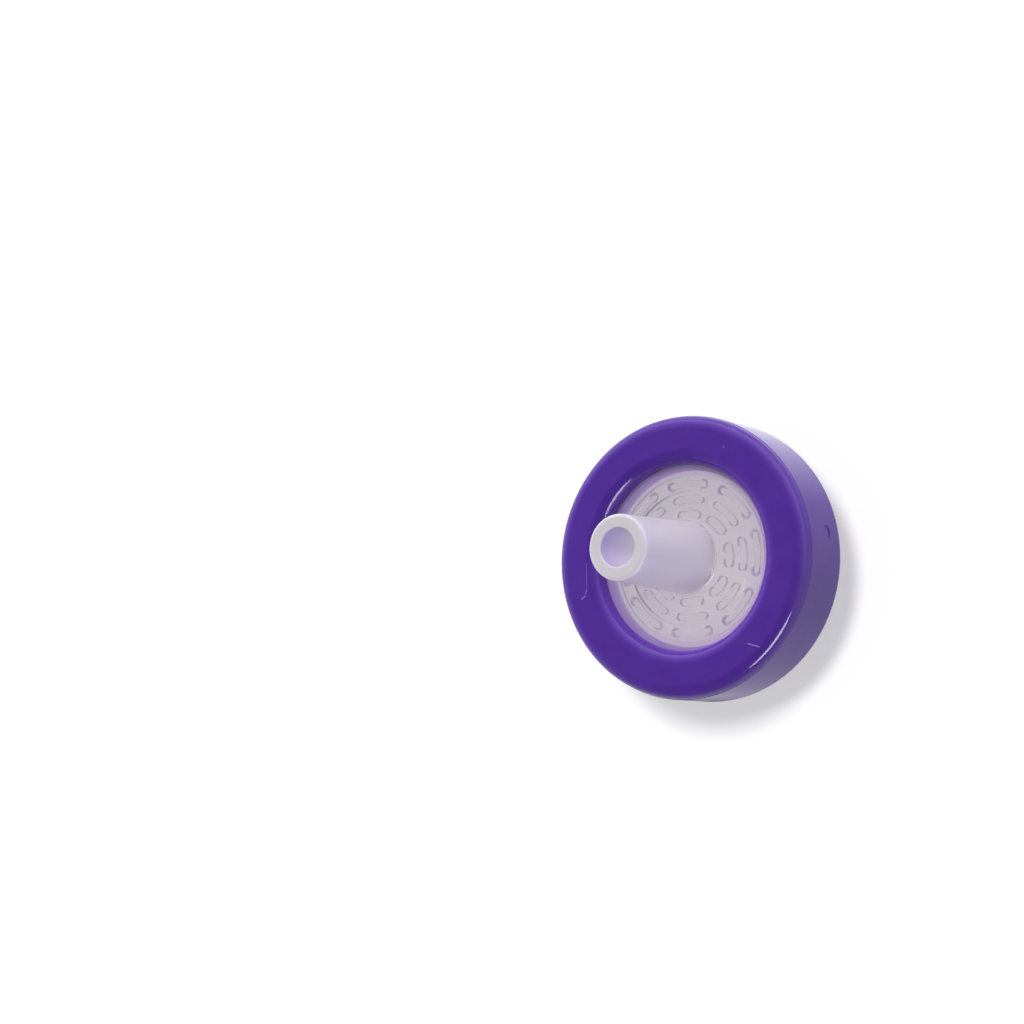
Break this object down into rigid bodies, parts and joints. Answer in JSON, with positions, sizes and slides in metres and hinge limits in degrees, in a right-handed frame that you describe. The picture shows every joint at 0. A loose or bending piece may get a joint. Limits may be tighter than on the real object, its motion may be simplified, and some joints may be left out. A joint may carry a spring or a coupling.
{
  "type": "syringe filter",
  "caption": "Disposable round syringe filter with a female luer hub, a male luer slip tip, clear ribbed shells and a moulded locking ring.",
  "frame": {"origin": "centre of the female hub's end face, on which the filter stands", "axes": "+Z along the axis from the female hub to the male tip; +X and +Y across the axis, with a drainage channel at 34.5 degrees from +X"},
  "size_m": [0.0175, 0.0174, 0.0178],
  "materials": {
    "milky_shell": "translucent milky polypropylene, moulded gloss",
    "clear_shell": "translucent polypropylene, moulded gloss",
    "membrane": "white matt micro-porous membrane",
    "ring": "violet polypropylene, moulded gloss"
  },
  "bodies": {
    "root": {"inlet_shell": "milky_shell", "outlet_shell": "clear_shell", "membrane": "membrane", "overmoulded_ring": "ring"}
  },
  "joints": []
}
